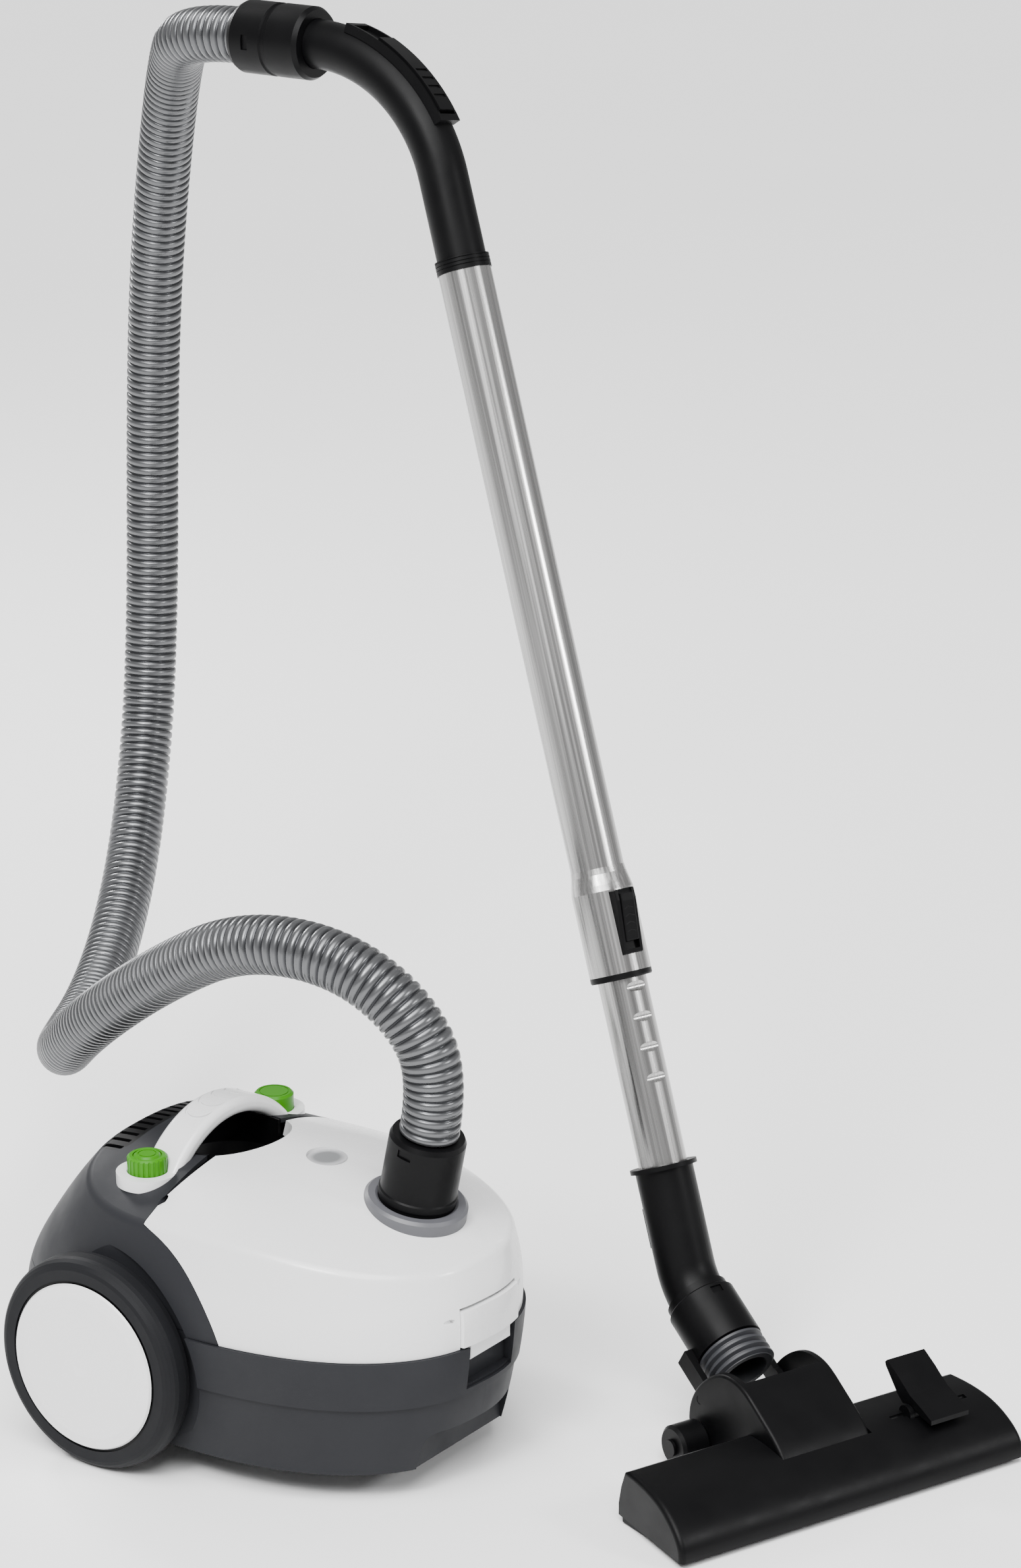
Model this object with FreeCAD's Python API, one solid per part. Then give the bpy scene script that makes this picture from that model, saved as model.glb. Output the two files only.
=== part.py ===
import FreeCAD, Part
import math
import os

# Canister vacuum cleaner: a wheeled canister, a corrugated hose, a bent grip, a telescopic
# wand and a floor nozzle.  Millimetres, +Z up, canister forward = +X, its right side = -Y.
# Everything is built about the wheel axle's middle on the floor, then moved so that the
# origin is the bottom centre of the whole object without its hose.

V = FreeCAD.Vector
X, Y, Z = V(1, 0, 0), V(0, 1, 0), V(0, 0, 1)

# ---- driving dimensions: canister ------------------------------------------------------
FRONT_REACH = 221.0        # axle to the front of the body at the bumper
REAR_REACH = 114.0         # axle to the back of the body at the bumper
HALF_WIDTH = 113.5         # body half width at the bumper
WIDEST_X = 45.0            # where the plan outline is widest
TUB_BOTTOM = 20.0          # ground clearance
BAND_LOW, BAND_TOP = 68.0, 101.0
CROWN = 0.0026             # how much the top falls away sideways, per mm squared
SHELL = 3.0                # wall of the moulded shells
BAND_PROUD = 2.0           # how far the bumper band stands out
SEAM_GAP = 0.6             # visible joint between lid and rear housing
SEAM_R = 97.0              # seam arc about the wheel axle
SEAM_X = 27.0              # rear edge of the lid on top
CREASE_R = 8.0             # rounding where side meets top
PARTITION_X = 62.0         # wall between dust chamber and motor room

WHEEL_R, TYRE_W = 70.5, 22.0
TYRE_BORE_R = 57.0
WHEEL_INNER_Y = 110.0
CAP_R, CAP_T = 55.2, 3.0
AXLE_R = 5.0
AXLE_CLEAR = 0.08          # running fit of hub on axle
WELL_GAP = 4.0             # room round the tyre
MOTOR_Y, MOTOR_Z, MOTOR_R = -35.0, 84.0, 38.0
REEL_X, REEL_Z, REEL_R, REEL_SHAFT_R = -15.0, 84.0, 55.0, 5.0
OUTLET_Y, OUTLET_Z, OUTLET_R = 62.0, 52.0, 9.0
SCREWS = [(-70, -60), (-70, 60), (95, -82), (95, 82), (156, -62), (156, 62)]
SCREW_R = 1.9
CASTER_X = 150.0
CASTER_R, CASTER_W = 17.0, 16.0
CASTER_TRAIL = 9.0
CASTER_PIN_R = 4.0

KNOB_Y = 65.0
KNOB_R, KNOB_TOP = 12.9, 192.5
FOOT_R, FOOT_TOP = 20.0, 178.5
HANDLE_TOP = 211.0
HANDLE_W, HANDLE_T = 27.0, 11.0
WELL_X, WELL_R = 14.0, 40.0
WELL_FLOOR = 152.0
PRESS_KNOB, PRESS_REWIND = 2.5, 4.0

INLET_X, INLET_Z, INLET_TILT = 163.3, 179.0, 12.0
INLET_RING_R = 33.0
CUFF_R, CUFF_LEN = 24.4, 46.9
LATCH_W = 58.0
LATCH_PIVOT = (215.0, 122.0)
LID_PIVOT = (28.0, 176.5)
LID_OPEN = 20.0
LID_DROP = 3.0             # the hinge pins sit this far under the seam's corner

# ---- driving dimensions: hose ------------------------------------------------------------
HOSE_R, HOSE_WALL = 19.0, 1.2
# route from the grip's collar to the canister's cuff, each point chosen by eye
HOSE_MIDDLE = [
    (-270, 316, 806), (-312, 352, 724), (-336, 368, 624), (-347, 375, 515),
    (-350, 375, 405), (-347, 362, 300), (-318, 304, 208), (-266, 205, 162),
    (-208, 88, 160), (-132, 34, 220), (-45, 5, 282), (40, -16, 330),
    (112, -14, 334), (160, -6, 308),
]

# ---- driving dimensions: wand --------------------------------------------------------------
WAND_LEAN = 23.0           # degrees from upright
WAND_TOP = 598.0           # along the wand, from the elbow's flange
OUTER_R, TUBE_WALL = 17.5, 0.8
INNER_R = 15.9
SLEEVE_R = 20.3
SLEEVE_LOW, SLEEVE_HIGH = 137.0, 196.0
END_RING_LOW = 129.0
INNER_TOP = 430.0          # upper end of the inner tube, inside the outer one
SLIDE_OUT, SLIDE_IN = 180.0, 120.0
RELEASE_TRAVEL = 5.0
LOCK_LOW, LOCK_HIGH = 144.0, 186.0
NOTCH_PITCH, FIRST_DENT, DENTS = 20.0, 63.0, 12
GRIP_STRAIGHT, GRIP_BEND_R, GRIP_R = 63.3, 119.0, 16.3
GRIP_WALL = 2.2
COLLAR_R, COLLAR_LEN = 24.4, 58.0
SLIDER_TRAVEL_DEG = 6.0

# ---- driving dimensions: floor nozzle -------------------------------------------------------
NOZZLE_AT = (430.5, 93.4)
NOZZLE_TURN = 68.85        # heading of its long axis
NOZZLE_HALF, NOZZLE_DEPTH = 135.0, 75.0
NOZZLE_HIGH = 38.0
FLANGE_YZ = (205.5, 156.0) # elbow flange over the nozzle
ELBOW_R, ELBOW_BEND_R = 19.0, 45.0
NECK_LEAN = 57.8           # swivel axis from upright
NECK_TOP_YZ = (164.6, 81.0)
NECK_R, NECK_LEN = 23.2, 37.0
PIN_R = 3.0
TILT_YZ = (118.0, 40.0)    # hinge between neck and hood
YOKE_HALF = 34.2
PLATE_YZ = (56.0, 20.0)    # hinge between hood and nozzle body
ROLLER_YZ, ROLLER_R, ROLLER_W = (115.5, 14.0), 14.0, 21.0
PEDAL_X, PEDAL_W = 85.0, 30.0
PEDAL_YZ = (36.0, 36.0)
PEDAL_ROCK = 14.0
BRUSH_TRAVEL = 3.5
SOLE_SCREWS = [(-121, 24), (121, 24), (-50, 60), (50, 60), (-118, 60), (118, 60)]
FIT = 0.3                  # gap between moulded parts that move on each other
PIN_FIT = 0.05             # running clearance of steel pins

SHAPES = {}


# ---- small helpers ---------------------------------------------------------------------------
def add(name, shape):
    """Keep a finished piece under its node name."""
    SHAPES[name] = shape


def cyl(radius, start, direction, length):
    """A cylinder from start, along direction."""
    return Part.makeCylinder(radius, length, V(*start), V(*direction))


def ring(outer, inner, start, direction, length):
    """A tube section."""
    return cyl(outer, start, direction, length).cut(cyl(inner, start, direction, length))


def box(low, high):
    """A box between two corners."""
    low, high = V(*low), V(*high)
    size = high - low
    return Part.makeBox(size.x, size.y, size.z, low)


def revolve(profile, origin=V(0, 0, 0), axis=Z):
    """Turn a closed (radius, height) outline about the Z axis, then stand it on an axis."""
    points = [V(r, 0, h) for r, h in profile]
    face = Part.Face(Part.makePolygon(points + points[:1]))
    solid = face.revolve(V(0, 0, 0), Z, 360)
    solid.Placement = FreeCAD.Placement(V(*origin), FreeCAD.Rotation(Z, V(*axis)))
    return solid


def outline_solid(points, half_width, centre=0.0):
    """A closed (y, z) outline pulled along X to both sides of a centre."""
    wire = [V(centre - half_width, y, z) for y, z in points]
    return Part.Face(Part.makePolygon(wire + wire[:1])).extrude(V(2 * half_width, 0, 0))


def smooth_solid(curved, straight, half_width, centre=0.0):
    """The same as outline_solid, with one smooth curve and straight sides closing it."""
    curve = Part.BSplineCurve()
    curve.interpolate([V(centre - half_width, y, z) for y, z in curved])
    corners = [curved[-1]] + straight + [curved[0]]
    lines = []
    for (y0, z0), (y1, z1) in zip(corners, corners[1:]):
        lines.append(Part.makeLine(V(centre - half_width, y0, z0), V(centre - half_width, y1, z1)))
    return Part.Face(Part.Wire([curve.toShape()] + lines)).extrude(V(2 * half_width, 0, 0))


def rounded(shape, radius, pick):
    """Fillet the edges that pick() accepts."""
    edges = [e for e in shape.Edges if pick(e)]
    return shape.makeFillet(radius, edges) if edges else shape


def is_circle(radius, tolerance=0.05):
    """Picks full or part circles of one radius."""
    def pick(edge):
        curve = getattr(edge, "Curve", None)
        return isinstance(curve, Part.Circle) and abs(curve.Radius - radius) < tolerance
    return pick


def fuse(*shapes):
    """Join shapes into one clean solid."""
    return shapes[0].fuse(list(shapes[1:])).removeSplitter()


def group(*shapes):
    """Separate solids in one node."""
    return Part.makeCompound(list(shapes))


def place(shape, placement):
    """A copy of a shape in another frame."""
    moved = shape.copy()
    moved.Placement = placement.multiply(moved.Placement)
    return moved


# ---- frames -----------------------------------------------------------------------------------
NOZZLE = FreeCAD.Placement(V(NOZZLE_AT[0], NOZZLE_AT[1], 0), FreeCAD.Rotation(Z, NOZZLE_TURN))


def leaning(yz, lean):
    """A frame over the nozzle whose Z leans back and whose X stays along the nozzle."""
    return NOZZLE.multiply(FreeCAD.Placement(V(0, *yz), FreeCAD.Rotation(X, -lean)))


WAND = leaning(FLANGE_YZ, WAND_LEAN)
NECK = leaning(NECK_TOP_YZ, NECK_LEAN)
NECK_AT = NECK.Base
INLET = FreeCAD.Placement(V(INLET_X, 0, INLET_Z), FreeCAD.Rotation(Y, INLET_TILT))
WAND_AXIS = WAND.Rotation.multVec(Z)
WAND_END = WAND.multVec(V(0, 0, WAND_TOP))
COLLAR_AXIS = V(-1, 0, 0)
GRIP_TURN = math.degrees(WAND_AXIS.getAngle(COLLAR_AXIS))
GRIP_IN = (COLLAR_AXIS - WAND_AXIS * COLLAR_AXIS.dot(WAND_AXIS)).normalize()
GRIP = FreeCAD.Placement(WAND_END, FreeCAD.Rotation(GRIP_IN, WAND_AXIS.cross(GRIP_IN), WAND_AXIS, "ZXY"))


# ---- canister envelope ---------------------------------------------------------------------
# height over the floor, front, back and half width of each level
LEVELS = [
    (TUB_BOTTOM, FRONT_REACH - 15, -REAR_REACH + 2, HALF_WIDTH - 7.5),
    (66.0, FRONT_REACH - 4, -REAR_REACH - 8, HALF_WIDTH - 3.5),
    (BAND_TOP, FRONT_REACH, -REAR_REACH, HALF_WIDTH),
    (135.0, FRONT_REACH - 1, -REAR_REACH + 21, HALF_WIDTH - 2.5),
    (162.0, FRONT_REACH - 6, -REAR_REACH + 41, HALF_WIDTH - 9.5),
    (190.0, FRONT_REACH - 9, -REAR_REACH + 67, HALF_WIDTH - 12.5),
    (215.0, FRONT_REACH - 15, -REAR_REACH + 89, HALF_WIDTH - 18.5),
]
# the top's height along the centre line
TOP_LINE = [(-140, 176), (-60, 186), (-20, 190), (30, 192), (93, 191), (163, 175.5), (214, 155), (240,
                                                                                                  140)]
WIDE = 400.0


def level_wire(z, front, back, half):
    """One level of the body: a squarish oval, a little squarer behind."""
    points = []
    for step in range(28):
        angle = 2 * math.pi * step / 28
        c, s = math.cos(angle), math.sin(angle)
        power = 2 / 2.3 if c > 0 else 2 / 2.6
        reach = front - WIDEST_X if c > 0 else WIDEST_X - back
        x = WIDEST_X + math.copysign(abs(c) ** power * reach, c)
        y = math.copysign(abs(s) ** power * half, s)
        points.append(V(x, y, z))
    curve = Part.BSplineCurve()
    curve.interpolate(points, PeriodicFlag=True)
    return Part.Wire(curve.toShape())


def below_top(drop):
    """Everything under the crowned top, lowered by drop."""
    rows = []
    for x, z in TOP_LINE:
        rows.append([V(x, y, z - drop - CROWN * y * y) for y in range(-150, 151, 50)])
    surface = Part.BSplineSurface()
    surface.interpolate(rows)
    return surface.toShape().extrude(V(0, 0, -300))


def envelope(inset, crease=CREASE_R):
    """The body's outer form made smaller all round by inset."""
    wires = [level_wire(z, f - inset, b + inset, h - inset) for z, f, b, h in LEVELS]
    body = Part.makeLoft(wires, True).common(below_top(inset))
    edges = []
    for edge in body.Edges:
        middle = edge.valueAt((edge.FirstParameter + edge.LastParameter) / 2)
        low = min(v.Point.z for v in edge.Vertexes)
        if middle.z > 130 and low > 130:
            edges.append(edge)
    return body.makeFillet(crease, edges) if crease and edges else body


# ---- canister shells -------------------------------------------------------------------------
def both_sides(shape):
    """A shape and its mirror image across the canister's middle plane."""
    return shape.fuse(shape.mirror(V(0, 0, 0), Y))


def seam_region(gap):
    """Where the lid is: forward of the seam, gap/2 clear of it."""
    half = gap / 2
    x, z = SEAM_X + half, LID_PIVOT[1]
    lean = math.tan(math.radians(LID_OPEN)) * 60
    z -= LID_DROP / 2
    outline = [(x, BAND_TOP + half), (WIDE, BAND_TOP + half), (WIDE, z + 60), (x + lean, z + 60), (x, z)]
    wire = [V(px, -WIDE / 2, pz) for px, pz in outline]
    region = Part.Face(Part.makePolygon(wire + wire[:1])).extrude(V(0, WIDE, 0))
    return region.cut(cyl(SEAM_R + half, (0, -WIDE / 2, WHEEL_R), Y, WIDE))


def rear_region(gap):
    """Where the rear housing is: above the tub, behind the seam."""
    half = gap / 2
    behind = box((-WIDE, -WIDE / 2, BAND_TOP + half), (SEAM_X - half, WIDE / 2, WIDE))
    arch = cyl(SEAM_R - half, (0, -WIDE / 2, WHEEL_R), Y, WIDE)
    return behind.fuse(arch.common(box((0, -WIDE / 2, BAND_TOP + half), (WIDE, WIDE / 2, WIDE))))


def wells(radius, from_y):
    """The two round recesses the drive wheels stand in."""
    return both_sides(cyl(radius, (0, from_y, WHEEL_R), Y, 40))


def capsule(half_length, radius, x, low, high):
    """A long round-ended prism across the canister."""
    ends = both_sides(cyl(radius, (x, half_length, low), Z, high - low))
    return ends.fuse(box((x - radius, -half_length, low), (x + radius, half_length, high)))


def build_shells():
    """Tub, band, rear housing and the parts let into them."""
    outer, inner = envelope(0), envelope(SHELL, CREASE_R - SHELL)
    well_inner = WHEEL_INNER_Y - WELL_GAP
    front = FRONT_REACH
    outer = outer.cut(wells(WHEEL_R + WELL_GAP, well_inner))
    inner = inner.cut(wells(WHEEL_R + WELL_GAP + SHELL, well_inner - SHELL))
    under = box((-WIDE, -WIDE, 0), (WIDE, WIDE, BAND_TOP - SEAM_GAP / 2))

    # lower tub: what stays solid inside it is taken out of its cavity first
    kept = [box((PARTITION_X, -WIDE, 0), (PARTITION_X + SHELL, WIDE, BAND_TOP - 5)),
            box((-WIDE, -WIDE, 0), (WIDE, WIDE, TUB_BOTTOM + SHELL)),
            box((front - 30, -49, -10), (front + 40, 49, 48)),
            cyl(35, (CASTER_X, 0, 0), Z, 43),
            box((REEL_X - 14, 26, 0), (REEL_X + 14, 30, REEL_Z + 12)),
            box((-77.8, -55, 0), (-74.8, 15, 60)),
            cyl(REEL_SHAFT_R, (REEL_X, 26, REEL_Z), Y, 52),
            box((front - 14, -26, BAND_LOW + 3), (WIDE, 28, BAND_TOP))]
    cradle = box((-50, MOTOR_Y - 25, 0), (-32, MOTOR_Y + 25, MOTOR_Z - 20))
    kept.append(cradle.cut(cyl(MOTOR_R + 0.5, (-60, MOTOR_Y, MOTOR_Z), X, 60)))
    kept.append(both_sides(cyl(13, (0, well_inner - 11, WHEEL_R), Y, 30)))
    kept += [cyl(6, (x, y, 0), Z, 34) for x, y in SCREWS]
    tub = outer.common(under).cut(inner.common(under).cut(kept))
    openings = [rounded(box((front - 27, -46, -10), (front + 40, 46, 45)), 9, lambda e: e.Length > 60),
                cyl(32, (CASTER_X, 0, 0), Z, 40),
                cyl(CASTER_PIN_R + AXLE_CLEAR, (CASTER_X, 0, 30), Z, 20),
                cyl(AXLE_R, (0, -120, WHEEL_R), Y, 240),
                cyl(32, (PARTITION_X - 1, MOTOR_Y, MOTOR_Z), X, SHELL + 2),
                cyl(OUTLET_R, (-WIDE / 2, OUTLET_Y, OUTLET_Z), X, WIDE / 2 - 60),
                box((front - 9, -23, BAND_LOW + 6), (front + 9, 25, BAND_TOP + 1)),
                box((front - 15, -21, BAND_TOP - 13), (front - 5, 23, BAND_TOP - 7))]
    for x, y in SCREWS:
        openings.append(cyl(SCREW_R, (x, y, 0), Z, 32))
        openings.append(cyl(4.2, (x, y, 0), Z, TUB_BOTTOM + 2.5))
    add("lower_tub", tub.cut(openings))
    screws = [cyl(SCREW_R, (x, y, TUB_BOTTOM + 1), Z, 11).fuse(cyl(4, (x, y, TUB_BOTTOM + 0.2), Z, 2.3))
              for x, y in SCREWS]
    add("tub_screws", group(*screws))

    # bumper band round the front
    slab = box((20, -WIDE, BAND_LOW), (WIDE, WIDE, BAND_TOP)).cut(
        [cyl(WHEEL_R + WELL_GAP, (0, -WIDE / 2, WHEEL_R), Y, WIDE),
         box((front - 40, -23, BAND_LOW + 4), (front + 9, 25, BAND_TOP + 1))])
    add("bumper_band", envelope(-BAND_PROUD).common(slab).cut(envelope(0, 0)))

    # rear housing
    region = rear_region(SEAM_GAP)
    hinge_lugs = both_sides(box((16, 52, 166), (33, 56, LID_PIVOT[1] + 1.5)))
    kept = [both_sides(box((-18, 47, 155), (18, WIDE, 158))),
            both_sides(cyl(FOOT_R + 2.5, (0, KNOB_Y, 168), Z, 30)), hinge_lugs]
    housing = outer.common(region).cut(inner.cut(kept))
    openings = [cyl(WELL_R + 0.1, (WELL_X, 0, 140), Z, 80), capsule(42, 11.5, -42, 140, 215),
                both_sides(cyl(FOOT_R + 0.1, (0, KNOB_Y, 173), Z, 40)),
                both_sides(cyl(KNOB_R + FIT, (0, KNOB_Y, 160), Z, 40)),
                both_sides(cyl(4.3, (0, KNOB_Y, 150), Z, 12)),
                cyl(2.05, (LID_PIVOT[0], -90, LID_PIVOT[1] - LID_DROP), Y, 180)]
    add("rear_housing", housing.cut(openings))
    slats = [box((-49.5, y - 1.6, 140), (-34.5, y + 1.6, 215)) for y in range(-48, 49, 8)]
    strip = envelope(0.8).common(capsule(42, 11.4, -42, 140, 215))
    add("exhaust_grille", strip.cut(below_top(3.6)).cut(slats))
    add("exhaust_filter", box((-66, -48, 146), (-31, 48, 158)))

    # bowl under the handle
    bowl = revolve([(0, WELL_FLOOR), (WELL_R - 12, WELL_FLOOR), (WELL_R - 4, WELL_FLOOR + 4),
                    (WELL_R, WELL_FLOOR + 14), (WELL_R, 200), (WELL_R - 2.5, 200),
                    (WELL_R - 2.5, WELL_FLOOR + 15), (WELL_R - 6, WELL_FLOOR + 6.5),
                    (WELL_R - 13, WELL_FLOOR + 3), (0, WELL_FLOOR + 3)], V(WELL_X, 0, 0))
    bowl = bowl.common(below_top(0.6))
    add("handle_well", bowl.cut(box((SEAM_X - SEAM_GAP, -60, LID_PIVOT[1] - 1.5), (80, 60, 220))))


def build_lid():
    """The lid with inlet ring, indicator window, latch and hinge pins."""
    outer, inner = envelope(0), envelope(SHELL, CREASE_R - SHELL)
    region = seam_region(SEAM_GAP)
    x, half = LATCH_PIVOT[0], LATCH_W / 2
    pivot_x, pivot_z = LID_PIVOT
    kept = [cyl(WELL_R + 3.1, (WELL_X, 0, pivot_z + 0.5), Z, 60),
            both_sides(box((pivot_x + 1.5, 57, 160), (pivot_x + 12, 62, 190))),
            both_sides(cyl(4, (pivot_x, 56.6, pivot_z - LID_DROP), Y, 5.4)),
            place(cyl(INLET_RING_R + 3, (0, 0, -14), Z, 30), INLET),
            cyl(15, (93, 0, 185), Z, 20),
            both_sides(box((x - 5, half + 0.8, LATCH_PIVOT[1] - 8), (WIDE, half + 4.5,
                                                                     LATCH_PIVOT[1] + 6)))]
    lid = outer.common(region).cut(inner.common(region).cut(kept))
    openings = [cyl(WELL_R + 0.6, (WELL_X, 0, 140), Z, 80),
                cyl(2.1, (pivot_x, -90, pivot_z - LID_DROP), Y, 180),
                place(cyl(INLET_RING_R + 0.1, (0, 0, -11), Z, 40), INLET),
                place(cyl(INLET_RING_R - 3 + 0.05, (0, 0, -50), Z, 60), INLET),
                cyl(13.1, (93, 0, 187), Z, 30), cyl(11.5, (93, 0, 180), Z, 30),
                box((x - 12, -half - 0.4, BAND_TOP - 2), (WIDE, half + 0.4, LATCH_PIVOT[1] + 6.5)),
                cyl(1.5, (x, -60, LATCH_PIVOT[1]), Y, 120)]
    pins = both_sides(cyl(2.0, (pivot_x, 50, pivot_z - LID_DROP), Y, 12))
    add("dust_lid", lid.cut(openings).fuse(pins))
    socket = ring(INLET_RING_R - 3, CUFF_R + FIT, (0, 0, -34), Z, 30)
    rim = INLET_RING_R
    head = revolve([(CUFF_R + FIT, -10.8), (rim, -10.8), (rim, -0.8), (rim - 2, 1), (CUFF_R + 2, 1),
                    (CUFF_R + FIT, 0)])
    add("inlet_ring", place(head.fuse(socket), INLET).removeSplitter())
    add("indicator_window", cyl(13.05, (93, 0, 187.05), Z, 3.0))

    # the latch swings on a pin through two ears of the lid
    slot = box((x - 10, -half, BAND_TOP + 1.6), (WIDE, half, LATCH_PIVOT[1] + 4.5))
    tongue = envelope(-2.4).common(slot).cut(envelope(1.5, 0))
    barrel = cyl(4, (x, -half, LATCH_PIVOT[1]), Y, LATCH_W)
    web = box((x, -half, LATCH_PIVOT[1] - 3), (x + 5, half, LATCH_PIVOT[1] + 3))
    hook = box((FRONT_REACH - 6, -20, BAND_TOP - 9), (FRONT_REACH - 2, 22, BAND_TOP + 4))
    hook = hook.fuse(box((FRONT_REACH - 12, -20, BAND_TOP - 11.5), (FRONT_REACH - 5, 22, BAND_TOP - 8.5)))
    pin = cyl(1.5 - AXLE_CLEAR, (x, -half - 4.5, LATCH_PIVOT[1]), Y, LATCH_W + 9)
    add("lid_latch", tongue.fuse([barrel, web, hook, pin]))
    seal = envelope(SHELL - 0.05, 0).common(box((PARTITION_X + 4, -WIDE, 94), (WIDE, WIDE,
                                                                               BAND_TOP - 0.2)))
    latch_room = box((FRONT_REACH - 20, -29, 90), (WIDE, 31, 110))
    add("lid_seal", seal.cut(envelope(SHELL + 3.5, 0)).cut(latch_room))


# ---- canister working parts --------------------------------------------------------------------
def coil(radius, wire, base, height, turns=4):
    """A compression spring standing on a base point."""
    path = Part.makeHelix((height - wire * 2.2) / turns, height - wire * 2.2, radius)
    start = path.Edges[0].valueAt(path.Edges[0].FirstParameter)
    profile = Part.Wire(Part.makeCircle(wire, start, Y))
    spring = Part.Wire(path.Edges).makePipeShell([profile], True, False)
    spring.translate(V(*base) + V(0, 0, wire * 1.1))
    return spring


def build_controls():
    """Carry handle, foot knobs and their springs."""
    y, top = KNOB_Y, FOOT_TOP + 2.5
    outer = Part.Arc(V(0, -y + 4, top - 1), V(0, 0, HANDLE_TOP), V(0, y - 4, top - 1)).toShape()
    lower = Part.Arc(V(0, y - 18, top - 1), V(0, 0, HANDLE_TOP - HANDLE_T), V(0, -y + 18,
                                                                              top - 1)).toShape()
    ends = [Part.makeLine(V(0, y - 4, top - 1), V(0, y - 18, top - 1)),
            Part.makeLine(V(0, -y + 18, top - 1), V(0, -y + 4, top - 1))]
    arch = Part.Face(Part.Wire([outer, ends[0], lower, ends[1]])).extrude(V(HANDLE_W, 0, 0))
    arch.translate(V(-HANDLE_W / 2 + 6, 0, 0))
    arch = rounded(arch, 4.5, lambda e: isinstance(e.Curve, Part.Circle))
    for name in ("rear_housing", "handle_well"):
        SHAPES[name] = SHAPES[name].cut(arch)
    for step in range(-2, 3):
        at = V(6, step * 13, HANDLE_TOP - 1.0 - 0.0067 * (step * 13) ** 2)
        crescent = cyl(9.5, at + V(0, 7.5, -0.2), Z, 6).cut(cyl(9.5, at + V(0, 9.7, -0.2), Z, 6))
        crescent.rotate(at, X, -step * 9)
        arch = arch.cut(crescent)
    feet = both_sides(cyl(FOOT_R, (0, y, 173), Z, top - 173))
    handle = arch.fuse(feet).cut(both_sides(cyl(KNOB_R + FIT, (0, y, 160), Z, 80)))
    add("carry_handle", handle)
    dial = revolve([(9.3, 176.5), (KNOB_R, 176.5), (KNOB_R, KNOB_TOP - 2), (KNOB_R - 1.5, KNOB_TOP - 0.8),
                    (9.3, KNOB_TOP - 0.8)], V(0, -y, 0))
    ribs = []
    for step in range(24):
        angle = math.radians(step * 15)
        ribs.append(cyl(0.7, (KNOB_R * math.cos(angle), KNOB_R * math.sin(angle) - y, 180), Z, 20))
    add("power_dial", dial.cut(ribs))
    for name, side, radius in (("power", -1, 9.0), ("rewind", 1, KNOB_R)):
        cap = revolve([(0, 184), (radius - 1.6, 184), (radius - 1.6, 178), (radius, 178),
                       (radius, KNOB_TOP - 1.5), (radius - 1.5, KNOB_TOP), (0, KNOB_TOP)], V(0, side * y,
                                                                                             0))
        cap = cap.cut(ring(radius - 3, radius - 3.8, (0, side * y, KNOB_TOP - 0.5), Z, 2))
        add(name + "_button", cap.fuse(cyl(4, (0, side * y, 158.2), Z, 27)))
        add(name + "_spring", coil(5.8, 0.8, (0, side * y, 158), 26))
    add("power_switch", box((-14, -y - 14, 136), (14, -y + 14, 154.9)))


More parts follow.
